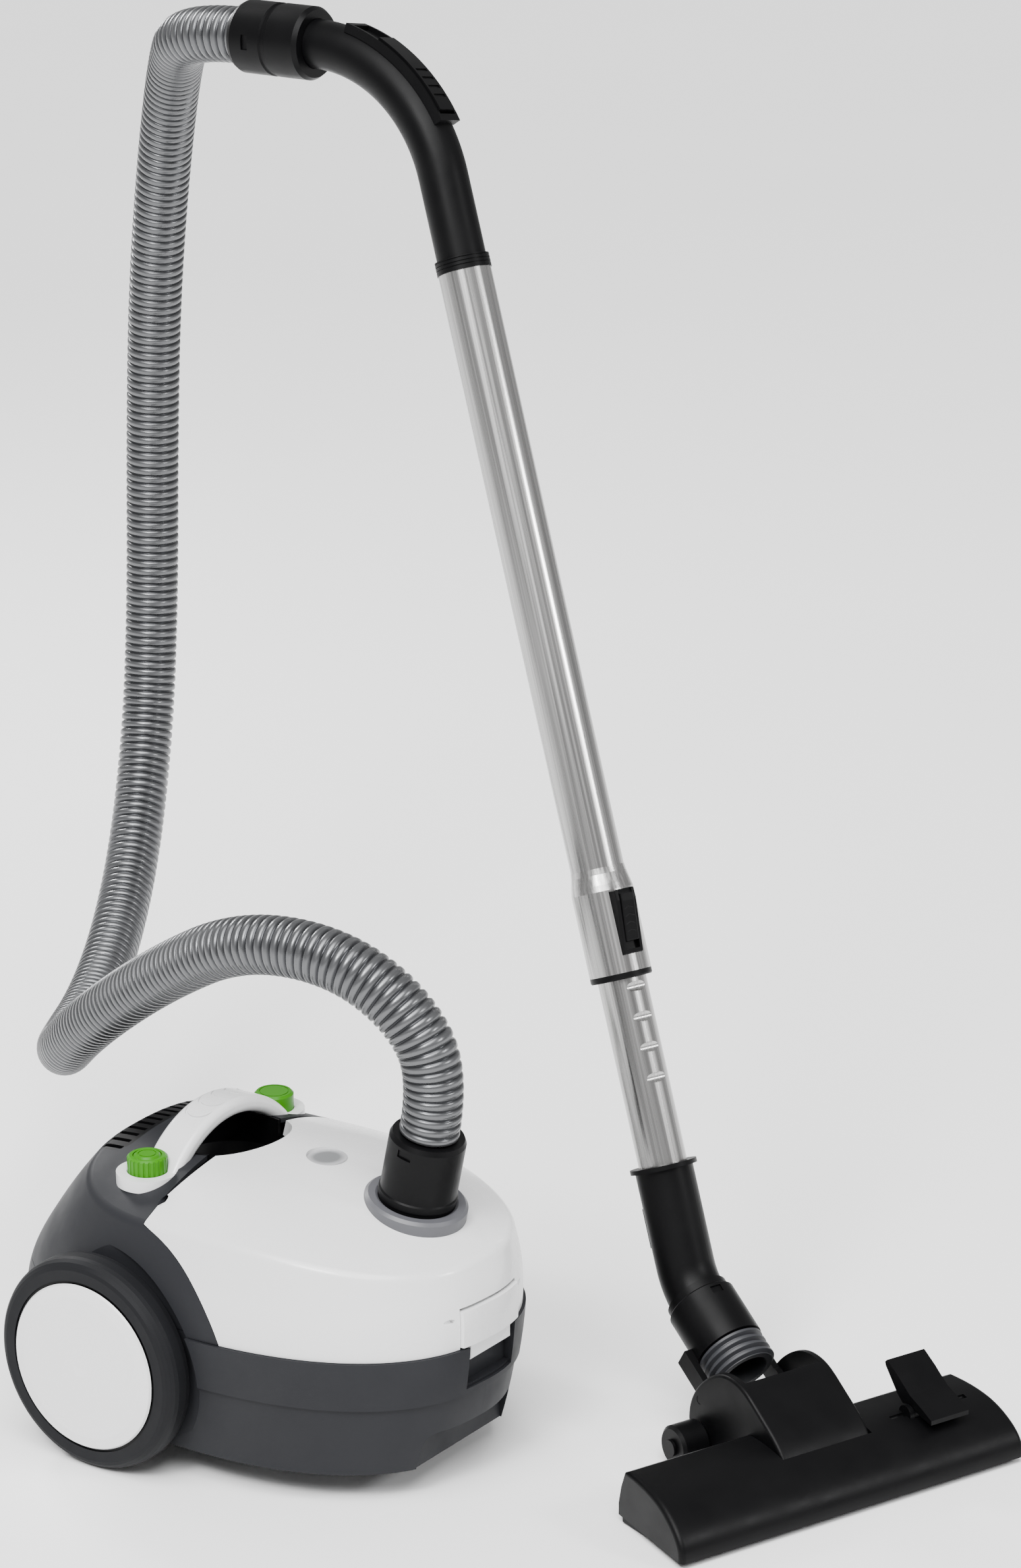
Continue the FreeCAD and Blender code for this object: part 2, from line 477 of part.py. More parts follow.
def build_drive():
    """Motor, filters, dust bag, cord reel and board."""
    x, y, z = PARTITION_X, MOTOR_Y, MOTOR_Z
    body = revolve([(0, 0), (12, 0), (12, -4), (MOTOR_R - 4, -4), (MOTOR_R, 0), (MOTOR_R, 80), (50, 82),
                    (50, 104), (46, 106), (34, 106), (34, 102), (0, 102)], V(x - 106, y, z), X)
    for step in range(12):
        angle = math.radians(step * 30)
        at = V(x - 111, y + 24 * math.cos(angle), z + 24 * math.sin(angle))
        body = body.cut(cyl(3, at, X, 20))
    add("motor", body)
    frame = box((x + 3, y - 44, 42), (x + 13, y + 44, 92))
    frame = frame.cut(box((x + 2, y - 39, 47), (x + 10, y + 39, 87)))
    add("motor_filter", frame.fuse(box((x + 3, y - 39, 47), (x + 8, y + 39, 87))))
    mouth = place(ring(46, 22.4, (0, 0, -46), Z, 3), INLET)
    bag = envelope(13, 0).common(box((x + 16, -90, TUB_BOTTOM + 25), (WIDE, 90, 126)))
    hollow = envelope(14.5, 0).common(box((x + 17.5, -88.5, TUB_BOTTOM + 26.5), (WIDE, 88.5, 124.5)))
    bag = bag.cut(place(box((-200, -200, -50.6), (200, 200, 100)), INLET))
    hollow = hollow.cut(place(box((-200, -200, -52.1), (200, 200, 100)), INLET))
    neck = place(cyl(23.9, (0, 0, -70), Z, 26), INLET)
    neck_bore = place(cyl(22.4, (0, 0, -72), Z, 40), INLET)
    scoop_room = box((FRONT_REACH - 36, -56, 0), (WIDE, 56, 56)).fuse(cyl(40, (CASTER_X, 0, 0), Z, 50))
    front_room = box((FRONT_REACH - 24, -60, 60), (WIDE, 60, 130))
    bag = bag.fuse(neck).cut([hollow, neck_bore, front_room, scoop_room])
    add("dust_bag", bag.fuse(mouth))
    arms = both_sides(box((x + 3, 47, 126.6), (INLET_X - 8, 51, 138)))
    plate = place(box((-52, -51, -50), (40, 51, -46.1)).cut(cyl(27, (0, 0, -60), Z, 20)), INLET)
    add("bag_holder", plate.fuse(arms.common(box((0, -60, 0), (WIDE, 60, 132)))))
    drum = revolve([(REEL_SHAFT_R + AXLE_CLEAR, 0), (REEL_R, 0), (REEL_R, 2.5), (32, 2.5), (32, 35.5),
                    (REEL_R, 35.5), (REEL_R, 38), (REEL_SHAFT_R + AXLE_CLEAR, 38)], V(REEL_X, 36,
                                                                                      REEL_Z), Y)
    add("cord_reel", drum)
    bush = ring(OUTLET_R, 5, (-122, OUTLET_Y, OUTLET_Z), X, 20)
    add("cord_outlet", bush.fuse(ring(12, 5, (-125, OUTLET_Y, OUTLET_Z), X, 4)))
    fitted = [box((-92, -44, 60), (-80, -24, 80)), cyl(6, (-96, -8, 70), X, 16),
              box((-86, -20, 84), (-80, 6, 94))]
    add("control_board", box((-80, -52, 44), (-77.8, 12, 100)).fuse(fitted))


def build_wheels():
    """Two drive wheels on stub axles and the front caster."""
    for name, side in (("right", -1), ("left", 1)):
        out = V(0, side, 0)
        at = V(0, side * WHEEL_INNER_Y, WHEEL_R)
        r = WHEEL_R
        tyre = revolve([(TYRE_BORE_R, 0), (r - 4, 0), (r - 0.8, 3), (r, 7), (r, TYRE_W - 8), (r - 0.7,
                                                                                              TYRE_W - 5),
                        (r - 2.2, TYRE_W - 2.2), (r - 4.2, TYRE_W - 0.3), (r - 6.5, TYRE_W + 0.5),
                        (TYRE_BORE_R, TYRE_W + 0.5)], at, out)
        add("tyre_" + name, tyre)
        hub = revolve([(AXLE_R + AXLE_CLEAR, 0), (14, 0), (14, 8), (52, 8), (52, 0.5), (TYRE_BORE_R, 0.5),
                       (TYRE_BORE_R, TYRE_W - 0.5), (52, TYRE_W - 0.5), (52, 12), (14, 12), (14, 15),
                       (AXLE_R + AXLE_CLEAR, 15)], at, out)
        add("hub_" + name, hub)
        dome = revolve([(0, TYRE_W - 1), (51.9, TYRE_W - 6), (51.9, TYRE_W - 0.4), (CAP_R, TYRE_W + 0.6),
                        (CAP_R - 1, TYRE_W + 2), (CAP_R - 8, TYRE_W + 3.2), (0, TYRE_W + 4.2)], at, out)
        add("cap_" + name, dome)
    stubs = both_sides(cyl(AXLE_R, (0, 98, WHEEL_R), Y, 28).fuse(cyl(9, (0, 125.3, WHEEL_R), Y, 2)))
    add("wheel_axles", stubs)
    x, r = CASTER_X - CASTER_TRAIL, CASTER_R
    crown = cyl(22, (CASTER_X, 0, 36.2), Z, 3).fuse(cyl(CASTER_PIN_R, (CASTER_X, 0, 37), Z, 13))
    legs = both_sides(box((x - 7, CASTER_W / 2 + 0.5, 12), (x + 12, CASTER_W / 2 + 3.5, 38)))
    axle = cyl(2, (x, -CASTER_W / 2 - 3.5, r), Y, CASTER_W + 7)
    add("caster_fork", crown.fuse([legs, axle]))
    tread = revolve([(2 + AXLE_CLEAR, 0), (r - 2, 0), (r, 3), (r, CASTER_W - 3), (r - 2, CASTER_W),
                     (2 + AXLE_CLEAR, CASTER_W)], V(x, -CASTER_W / 2, r), Y)
    add("caster_wheel", tread)


# ---- hose ----------------------------------------------------------------------------------------
def hose_route():
    """Every corner of the hose's route, from the grip's collar to the canister's cuff."""
    start = grip_end() + COLLAR_AXIS * COLLAR_LEN
    end = INLET.multVec(V(0, 0, CUFF_LEN))
    last = INLET.multVec(V(0, 0, CUFF_LEN + 43.3))
    return [start, start + COLLAR_AXIS * 53] + [V(*p) for p in HOSE_MIDDLE] + [last, end]


def tangent_path(points):
    """Straight runs joined by tangent arcs; returns the wire, its length and the arc radii."""
    edges, radii, at, length = [], [], points[0], 0
    for before, corner, after in zip(points, points[1:], points[2:]):
        back, ahead = before - corner, after - corner
        turn = math.pi - back.getAngle(ahead)
        reach = 0.45 * min(back.Length, ahead.Length)
        radius = reach / math.tan(turn / 2)
        first = corner + back.normalize() * reach
        final = corner + ahead.normalize() * reach
        bisector = (back + ahead).normalize()
        centre_distance = radius / math.cos(turn / 2)
        middle = corner + bisector * (centre_distance - radius)
        edges.append(Part.LineSegment(at, first).toShape())
        edges.append(Part.Arc(first, middle, final).toShape())
        length += (first - at).Length + radius * turn
        radii.append(radius)
        at = final
    edges.append(Part.LineSegment(at, points[-1]).toShape())
    length += (points[-1] - at).Length
    return Part.Wire(edges), length, radii


def swept_bar(wire, radius):
    """A round bar along a wire."""
    start = wire.Edges[0].valueAt(wire.Edges[0].FirstParameter)
    direction = wire.Edges[0].tangentAt(wire.Edges[0].FirstParameter)
    profile = Part.Wire(Part.makeCircle(radius, start, direction))
    return wire.makePipeShell([profile], True, True)


def swept_tube(wire, outer, inner):
    """A tube of constant section along a wire."""
    return swept_bar(wire, outer).cut(swept_bar(wire, inner))


def build_hose():
    """The corrugated hose with its two end fittings."""
    points = hose_route()
    wire, length, radii = tangent_path(points)
    tube = swept_tube(wire, HOSE_R, HOSE_R - HOSE_WALL)
    add("suction_hose", tube)
    section = math.pi * (HOSE_R ** 2 - (HOSE_R - HOSE_WALL) ** 2)
    print("hose length %.1f, volume over section x length %.4f" % (length,
                                                                   tube.Volume / section / length))
    print("hose radii " + " ".join("%.0f" % r for r in radii))
    r = CUFF_R
    cuff = revolve([(HOSE_R - 2.4, -34), (r, -34), (r, 1.5), (r + 0.8, 3), (r + 0.8, 7), (r, 8),
                    (r, CUFF_LEN - 3), (r - 1.5, CUFF_LEN), (HOSE_R - 1.2, CUFF_LEN),
                    (HOSE_R - 2.4, CUFF_LEN - 4)])
    slot = box((-5, -40, CUFF_LEN - 10), (5, -r + 1.5, CUFF_LEN - 5))
    add("hose_cuff", place(cuff.cut(slot), INLET))
    r = COLLAR_R
    collar = revolve([(GRIP_R + FIT, 0), (r - 2, 0), (r, 3), (r, 26), (r - 1, 27), (r - 1, 30), (r, 31),
                      (r, COLLAR_LEN - 3), (r - 1.5, COLLAR_LEN), (HOSE_R - 1.2, COLLAR_LEN),
                      (HOSE_R - 1.2, 30), (GRIP_R + FIT, 28)], grip_end(), COLLAR_AXIS)
    slot = box((-5, -40, 0), (5, -r + 1.5, 5))
    slot.translate(V(0, 0, 0))
    at = FreeCAD.Placement(grip_end() + COLLAR_AXIS * 40, FreeCAD.Rotation(Z, COLLAR_AXIS))
    add("hose_collar", collar.cut(place(slot, at)))


# ---- wand ------------------------------------------------------------------------------------------
def grip_end():
    """Where the bent grip stops, inside the hose's collar."""
    angle = math.radians(GRIP_TURN)
    x = GRIP_BEND_R * (1 - math.cos(angle))
    z = GRIP_STRAIGHT + GRIP_BEND_R * math.sin(angle)
    return GRIP.multVec(V(x, 0, z))


def bend_sector(inner, outer, half, first, last):
    """A piece of a thick arc lying on the grip's bend, between two angles in degrees."""
    profile = Part.makePolygon([V(-inner, -half, 0), V(-outer, -half, 0), V(-outer, half, 0), V(-inner,
                                                                                                half, 0),
                                V(-inner, -half, 0)])
    solid = Part.Face(profile).revolve(V(0, 0, 0), Y, last - first)
    turn = FreeCAD.Placement(V(GRIP_BEND_R, 0, GRIP_STRAIGHT), FreeCAD.Rotation(Y, first))
    return place(place(solid, turn), GRIP)


def build_grip():
    """The bent grip with its suction slider."""
    foot = GRIP.multVec(V(0, 0, -36))
    start = GRIP.multVec(V(0, 0, GRIP_STRAIGHT))
    middle_angle = math.radians(GRIP_TURN / 2)
    middle = GRIP.multVec(V(GRIP_BEND_R * (1 - math.cos(middle_angle)), 0,
                            GRIP_STRAIGHT + GRIP_BEND_R * math.sin(middle_angle)))
    end = grip_end()
    beyond = end + COLLAR_AXIS * 26
    wire = Part.Wire([Part.makeLine(foot, start), Part.Arc(start, middle, end).toShape(),
                      Part.makeLine(end, beyond)])
    tube = swept_tube(wire, GRIP_R, GRIP_R - GRIP_WALL)
    tube = tube.fuse(ring(OUTER_R + 0.6, GRIP_R - 1, GRIP.multVec(V(0, 0, 0)), WAND_AXIS, 9))
    for step in range(3):
        tube = tube.cut(ring(OUTER_R + 3, OUTER_R - 0.2, GRIP.multVec(V(0, 0, 2.6 + 2.4 * step)),
                             WAND_AXIS, 0.8))
    reach = GRIP_BEND_R + GRIP_R
    rails = bend_sector(reach - 3, reach + 3.2, 10.4, 14, 56).cut(bend_sector(reach + FIT, reach + 9, 8.3,
                                                                              16, 54))
    bore = bend_sector(reach - 8, reach + 9, 4.5, 40, 47)
    add("grip_tube", tube.fuse(rails.cut(swept_bar(wire, GRIP_R - 1))).cut(bore))
    slider = bend_sector(reach + 0.6, reach + 4.6, 8.0, 17, 45)
    for step in range(4):
        slider = slider.cut(bend_sector(reach + 3.8, reach + 9, 6, 21 + 3 * step, 22 + 3 * step))
    add("suction_slider", slider)


def build_wand():
    """Outer and inner tubes, sleeve, lock button and elbow."""
    bottom = END_RING_LOW + 4
    tube = ring(OUTER_R, OUTER_R - TUBE_WALL, (0, 0, bottom), Z, WAND_TOP - bottom)
    add("outer_tube", place(tube, WAND))
    low, high = SLEEVE_LOW, SLEEVE_HIGH
    sleeve = revolve([(OUTER_R, low - 4), (SLEEVE_R, low - 4), (SLEEVE_R, high - 9), (SLEEVE_R - 0.7,
                                                                                      high - 5),
                      (OUTER_R + 0.7, high + 2), (OUTER_R + 0.2, high + 6), (OUTER_R, high + 6)])
    outline = [(-16, LOCK_LOW), (-21.2, LOCK_LOW), (-26.4, LOCK_HIGH - 7), (-26, LOCK_HIGH), (-16,
                                                                                              LOCK_HIGH)]
    housing = rounded(outline_solid(outline, 7.6), 1.0,
                      lambda e: min(v.Point.y for v in e.Vertexes) < -21)
    bed = cyl(OUTER_R, (0, 0, 0), Z, 300)
    add("tube_sleeve", place(sleeve.cut(outline_solid(outline, 7.6)), WAND))
    track = outline_solid([(-40, LOCK_LOW + 3), (-18.6, LOCK_LOW + 3), (-18.6, LOCK_HIGH + 9),
                           (-40, LOCK_HIGH + 9)], 5.2)
    add("lock_housing", place(housing.cut([bed, track]), WAND))
    lip = revolve([(INNER_R + PIN_FIT, END_RING_LOW), (SLEEVE_R - 0.6, END_RING_LOW), (SLEEVE_R,
                                                                                       END_RING_LOW + 1),
                   (SLEEVE_R, bottom), (OUTER_R - TUBE_WALL, bottom),
                   (OUTER_R - TUBE_WALL, END_RING_LOW + 17), (INNER_R + PIN_FIT, END_RING_LOW + 17)])
    add("tube_end_ring", place(lip, WAND))
    rear = LOCK_LOW + 3 + RELEASE_TRAVEL + 0.3
    outline = [(-18.9, rear), (-23.4, rear), (-27.8, LOCK_HIGH - 8), (-28.2, LOCK_HIGH), (-18.9,
                                                                                          LOCK_HIGH)]
    button = rounded(outline_solid(outline, 4.9), 0.8, lambda e: min(v.Point.y for v in e.Vertexes) < -21)
    thumb = cyl(6, (-10, -29.5, LOCK_HIGH + 2.5), X, 20)
    for step in range(4):
        mark = LOCK_HIGH - 12 - 5 * step
        depth = 27.45 - 0.163 * (LOCK_HIGH - 8 - mark)
        arrow = [(-3.5, mark - 1.5), (0, mark), (3.5, mark - 1.5), (3.5, mark - 0.8), (0, mark + 0.8),
                 (-3.5, mark - 0.8), (-3.5, mark - 1.5)]
        face = Part.Face(Part.makePolygon([V(px, -40, pz) for px, pz in arrow]))
        button = button.cut(face.extrude(V(0, 40 - depth, 0)))
    add("release_button", place(button.cut(thumb), WAND))
    inner = ring(INNER_R, INNER_R - TUBE_WALL, (0, 0, -36), Z, INNER_TOP + 36)
    inside = ring(INNER_R - TUBE_WALL / 2, INNER_R - 2.6, (0, 0, 0), Z, INNER_TOP)
    heights = [FIRST_DENT + NOTCH_PITCH * step for step in range(DENTS)]
    patches = [inside.common(box((-10, -30, h - 5), (10, 0, h + 5))) for h in heights]
    dents = [cyl(4.2, (-20, -INNER_R - 2.6, h), X, 40) for h in heights]
    add("inner_tube", place(inner.fuse(patches).cut(dents), WAND))

    # elbow between the wand and the swivel neck
    top = WAND.multVec(V(0, 0, 6))
    neck_axis = NECK.Rotation.multVec(Z)
    neck_top = NECK.multVec(V(0, 0, 0))
    drop = meeting_distance()
    corner = WAND.multVec(V(0, 0, -drop))
    turn = WAND_AXIS.getAngle(neck_axis)
    reach = ELBOW_BEND_R * math.tan(turn / 2)
    first, last = corner + WAND_AXIS * reach, corner - neck_axis * reach
    bisector = (WAND_AXIS - neck_axis).normalize()
    middle = corner + bisector * (ELBOW_BEND_R / math.cos(turn / 2) - ELBOW_BEND_R)
    spigot = neck_top - neck_axis * 14
    wire = Part.Wire([Part.makeLine(top, first), Part.Arc(first, middle, last).toShape(),
                      Part.makeLine(last, spigot)])
    tube = swept_tube(wire, ELBOW_R, INNER_R - 2.5)
    flange = place(cyl(ELBOW_R + 3, (0, 0, 4), Z, 3), WAND)
    collar = place(cyl(ELBOW_R + 2.2, (0, 0, 0.4), Z, 5), NECK)
    hook = place(box((-6, 12, -46), (6, 27, -40)).fuse(box((-6, 23.5, -46), (6, 27, -20))), WAND)
    elbow = tube.fuse([flange, collar, hook])
    elbow = elbow.cut(place(cyl(INNER_R, (0, 0, -36), Z, 60), WAND))
    add("elbow", elbow.cut(swept_bar(wire, INNER_R - 2.5)))


def meeting_distance():
    """How far below the flange the wand's axis meets the neck's axis."""
    lean_w, lean_n = math.radians(WAND_LEAN), math.radians(NECK_LEAN)
    dy = FLANGE_YZ[0] - NECK_TOP_YZ[0]
    dz = FLANGE_YZ[1] - NECK_TOP_YZ[1]
    return (dy * math.cos(lean_n) - dz * math.sin(lean_n)) / math.sin(lean_w - lean_n)


# ---- floor nozzle ------------------------------------------------------------------------------------
def build_neck():
    """The swivel collar with its fork, bellows and tilt pins."""
    r, l = NECK_R, NECK_LEN
    collar = revolve([(INNER_R - 2.5, -l), (r, -l), (r, -1), (r - 1, 0), (ELBOW_R + FIT, 0),
                      (ELBOW_R + FIT, -14.6),
                      (INNER_R - 2.5, -14.6)])
    collar = collar.cut(box((-4, -40, -8), (4, -r + 1.5, -3)))
    tilt = NECK.inverse().multVec(NOZZLE.multVec(V(0, *TILT_YZ)))
    arm = cyl(7, V(24, tilt.y, tilt.z), X, 4.4).fuse(box((24, tilt.y - 6, tilt.z), (28.4, tilt.y + 7,
                                                                                    -l + 9)))
    arm = arm.fuse(box((18, tilt.y - 6, -l), (28.4, tilt.y + 7, -l + 9))).cut(cyl(INNER_R, (0, 0, -60), Z,
                                                                                  60))
    arms = arm.fuse(arm.mirror(V(0, 0, 0), X)).cut(cyl(r - 2, (0, 0, -l - 20), Z, 60))
    pins = [place(cyl(PIN_R, V(side * 30 - 4.0, *TILT_YZ), X, 8.0), NOZZLE) for side in (-1, 1)]
    add("swivel_neck", place(collar.fuse(arms), NECK).fuse(pins))
    rings = []
    for step in range(4):
        low = -l - 0.1 - 5 * (step + 1)
        rings += [(20, low + 5), (22.6, low + 3.6), (22.6, low + 2), (20, low + 0.6)]
    bellows = revolve([(16, -l), (20, -l)] + rings[1:] + [(20, -l - 20), (16, -l - 20)])
    add("neck_bellows", place(bellows, NECK))


def arc_points(centre, radius, first, last, steps):
    """Points on an arc in the (y, z) plane, angles in degrees."""
    points = []
    for step in range(steps + 1):
        angle = math.radians(first + (last - first) * step / steps)
        points.append((centre[0] + radius * math.cos(angle), centre[1] + radius * math.sin(angle)))
    return points


def build_hood():
    """The yoke between nozzle body and neck, with its rollers."""
    crown = [(29.5, 33), (38, 42), (49, 50), (61, 58), (72, 64.5), (84, 67.5), (97, 66), (111, 58), (122,
                                                                                                     47),
             (129, 34), (130, 20)]
    nose = arc_points(PLATE_YZ, 29.9, 190, 160, 4)
    hood = smooth_solid(crown, [(124, 10), (112, 7), (60, 7), (48, 8)] + nose, YOKE_HALF)
    hood = rounded(hood, 2.2, lambda e: isinstance(e.Curve, Part.BSplineCurve))
    room = outline_solid([(72, -5), (72, 52), (80, 75), (150, 75), (150, -5)], 29.2)
    front_room = outline_solid([(44, 12), (38, 22), (42, 32), (56, 44), (73, 52), (73, 12)], 29.2)
    saddle = place(cyl(NECK_R + 2.4, (0, 0, -100), Z, 110), NECK)
    hood = hood.cut([room, front_room, place_back(saddle)])
    floor_pan = outline_solid([(40, 9), (70, 7), (70, 10), (42, 12)], 29.4)
    hood = hood.fuse(floor_pan)
    hood = hood.cut([cyl(PIN_R + PIN_FIT, V(-60, *TILT_YZ), X, 120), cyl(3, V(-60, *ROLLER_YZ), X, 120)])
    rings, along = [], V(0, -4.6, -3.1)
    for step in range(8):
        rings.append(cyl(15.5 if step % 2 else 14.2, (0, 85 - 4.6 * step, 49.5 - 3.1 * step), along, 5.6))
    stub = fuse(*rings).common(box((-40, 46.5, 12.5), (40, 90, 80)))
    hood = hood.cut(cyl(15.6, (0, 85, 49.5), along, 46).common(box((-40, 46.4, 12.4), (40, 90, 80))))
    trunnions = [cyl(4.4, V(side * (YOKE_HALF + 1.2) - 2.8, *PLATE_YZ), X, 5.6) for side in (-1, 1)]
    add("nozzle_hood", place(hood.fuse(trunnions), NOZZLE))
    add("nozzle_duct", place(stub.cut(cyl(12.5, (0, 90, 52.9), along, 70)), NOZZLE))
    axles, half = [], ROLLER_W / 2
    for name, side in (("roller_right", -1), ("roller_left", 1)):
        centre = side * (YOKE_HALF + 1.6 + half)
        wheel = revolve([(3 + PIN_FIT, -half), (ROLLER_R - 2, -half), (ROLLER_R, -half + 2), (ROLLER_R,
                                                                                              half - 2),
                         (ROLLER_R - 2, half), (3 + PIN_FIT, half)], V(centre, *ROLLER_YZ), X)
        add(name, place(wheel, NOZZLE))
        inner_end = side * 29.4
        axles.append(cyl(3, V(inner_end, *ROLLER_YZ), V(side, 0, 0), 30).fuse(
            cyl(5.5, V(side * (YOKE_HALF + 1.6 + ROLLER_W + 0.6), *ROLLER_YZ), V(side, 0, 0), 2)))
    add("roller_axles", place(group(*axles), NOZZLE))


def place_back(shape):
    """Bring a shape from the common frame into the nozzle's frame."""
    return place(shape, NOZZLE.inverse())


def build_plate():
    """The nozzle body, sole, brushes and pedal."""
    crown = [(63, 38), (50, 37.8), (36, 36.2), (24, 33), (13, 27.5), (4, 20.5), (-1.5, 12), (-2, 4)]
    body = smooth_solid(crown, [(75, 4), (75, 12), (72, 24), (67, 36)], NOZZLE_HALF)
    cutters = []
    for side in (-1, 1):
        wedge = Part.Face(Part.makePolygon([V(side * NOZZLE_HALF, -10, -5), V(side * (NOZZLE_HALF - 9),
                                                                              80, -5),
                                            V(side * 160, 80, -5), V(side * 160, -10, -5),
                                            V(side * NOZZLE_HALF, -10, -5)])).extrude(V(0, 0, 60))
        cutters.append(wedge)
    body = body.cut(cutters)
    body = rounded(body, 3.5, lambda e: isinstance(e.Curve,
                                                   Part.BSplineCurve) and abs(e.CenterOfMass.x) > 100)
    hollow = outline_solid([(71, 0), (71, 12), (63, 31), (50, 34.5), (30, 32), (20, 28.5), (10, 23.5), (4,
                                                                                                        18),
                            (1.5, 12), (1.5, 0)], NOZZLE_HALF - 13)
    middle = box((-YOKE_HALF - 4.6, 15, -1), (YOKE_HALF + 4.6, 90, 60))
    body = body.cut(hollow.cut(middle))
    bay = cyl(30.6, V(-YOKE_HALF - 0.6, *PLATE_YZ), X, 2 * YOKE_HALF + 1.2)
    bay = bay.common(box((-50, 0, 3), (50, PLATE_YZ[0], 60)))
    bay = bay.fuse(box((-YOKE_HALF - 0.6, PLATE_YZ[0] - 0.1, -1), (YOKE_HALF + 0.6, 90, 60)))
    body = body.cut(box((-119.5, 34.6, 0), (119.5, 39.4, 9.4)))
    body = body.cut(bay).cut(cyl(4.4 + FIT, V(-60, *PLATE_YZ), X, 120).common(
        box((-YOKE_HALF - 4.2, 0, 0), (YOKE_HALF + 4.2, 90, 60))))
    x, half = PEDAL_X, PEDAL_W / 2
    lugs = []
    for side in (-1, 1):
        low = x + side * (half + 0.4)
        lug = cyl(6, V(low, *PEDAL_YZ), V(side, 0, 0), 3.4)
        lugs.append(lug.fuse(box((min(low, low + side * 3.4), 30, 26), (max(low, low + side * 3.4), 42,
                                                                        36))))
    body = body.fuse(lugs).cut(cyl(6.2, V(x - half - 0.4, *PEDAL_YZ), X, PEDAL_W + 0.8))
    body = body.cut(cyl(2 + PIN_FIT, V(x - 30, *PEDAL_YZ), X, 60))
    posts = [cyl(5, (px, py, 3.2), Z, 26) for px, py in SOLE_SCREWS]
    body = body.fuse([p.common(box((-150, 0, 3.2), (150, 80, 28))) for p in posts])
    body = body.cut([cyl(1.6, (px, py, -1), Z, 22) for px, py in SOLE_SCREWS])
    add("nozzle_body", place(body.cut(box((-150, -10, -5), (150, 90, 4))), NOZZLE))
    sole = box((-127, 3, 1.2), (127, 70, 3.9)).cut(box((-YOKE_HALF - 0.6, PLATE_YZ[0] - 14, 0),
                                                       (YOKE_HALF + 0.6, 90, 9)))
    sole = sole.cut([box((-118, 18, 0), (118, 30, 6)), box((-120, 8.6, 0), (120, 13.4, 6)),
                     box((-120, 34.6, 0), (120, 39.4, 6))])
    sole = sole.cut([cyl(1.6, (px, py, -1), Z, 9) for px, py in SOLE_SCREWS])
    sole = sole.cut([cyl(3.6, (px, py, 0), Z, 2.4) for px, py in SOLE_SCREWS])
    add("sole_plate", place(sole, NOZZLE))
    screws = [cyl(1.6, (px, py, 2.4), Z, 14).fuse(cyl(3.4, (px, py, 1.3), Z, 1.1)) for px,
              py in SOLE_SCREWS]
    add("sole_screws", place(group(*screws), NOZZLE))
    pads = [box((side * 60 - 48, y, 0.2), (side * 60 + 48, y + 3, 1.2)) for side in (-1,
                                                                                     1) for y in (14.2,
                                                                                                  31)]
    add("lint_pads", place(group(*pads), NOZZLE))
    strips = []
    for y in (9, 35):
        strips.append(box((-119, y, 3.2), (119, y + 4, 9)).fuse(box((-118, y + 1, 0.8), (118, y + 3,
                                                                                         3.2))))
    bridge = [box((px, 9, 9), (px + 8, 39, 11)) for px in (-112, -60, 52, 104)]
    add("brush_strips", place(strips[0].fuse([strips[1]] + bridge), NOZZLE))
    rocker = outline_solid([(14, 36), (14, 39), (24, 43.5), (36, 48), (49, 57), (60, 63.5), (62, 61.5),
                            (61, 59),
                            (49, 45), (43, 40.2), (36, 42), (24, 37.6)], half, x)
    hub = cyl(5.8, V(x - half, *PEDAL_YZ), X, PEDAL_W)
    pin = cyl(2, V(x - half - 3.8, *PEDAL_YZ), X, PEDAL_W + 7.6)
    add("pedal", place(rocker.fuse([hub, pin]), NOZZLE))


# ---- write everything ----------------------------------------------------------------------------------
def shift():
    """From the construction frame to the frame of the finished object."""
    low, high = V(1e9, 1e9, 1e9), V(-1e9, -1e9, -1e9)
    for name, shape in SHAPES.items():
        if name == "suction_hose":
            continue
        bounds = shape.optimalBoundingBox(False)
        low = V(min(low.x, bounds.XMin), min(low.y, bounds.YMin), min(low.z, bounds.ZMin))
        high = V(max(high.x, bounds.XMax), max(high.y, bounds.YMax), max(high.z, bounds.ZMax))
    return V(-(low.x + high.x) / 2, -(low.y + high.y) / 2, -low.z)


def build():
    """Make every piece and return them with the move to the finished frame."""
    for step in (build_shells, build_lid, build_controls, build_drive, build_wheels, build_hose,
                 build_grip,
                 build_wand, build_neck, build_hood, build_plate):
        step()
    return SHAPES, shift()


def main():
    """Write one STEP file per piece."""
    os.makedirs("parts", exist_ok=True)
    shapes, move = build()
    print("shift %.4f %.4f %.4f" % (move.x, move.y, move.z))
    for name, shape in shapes.items():
        moved = shape.copy()
        moved.translate(move)
        moved.exportStep("parts/%s.step" % name)


if __name__ == "__main__":
    main()
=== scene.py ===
import math

import bpy
from mathutils import Matrix, Vector


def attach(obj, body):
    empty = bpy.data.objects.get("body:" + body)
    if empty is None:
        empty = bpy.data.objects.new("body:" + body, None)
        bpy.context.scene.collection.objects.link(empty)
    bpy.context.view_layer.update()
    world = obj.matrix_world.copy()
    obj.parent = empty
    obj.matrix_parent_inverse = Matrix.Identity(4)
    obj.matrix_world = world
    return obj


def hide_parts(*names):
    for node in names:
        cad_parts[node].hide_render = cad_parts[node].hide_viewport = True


bl_info = {
    "name": "Canister Vacuum Cleaner",
    "version": (1, 0, 0),
    "blender": (4, 5, 0),
    "location": "3D View > Sidebar > Vacuum",
    "description": "Builds the visible finish of a wheeled vacuum cleaner with hose, wand and floor nozzle",
    "category": "Object",
}

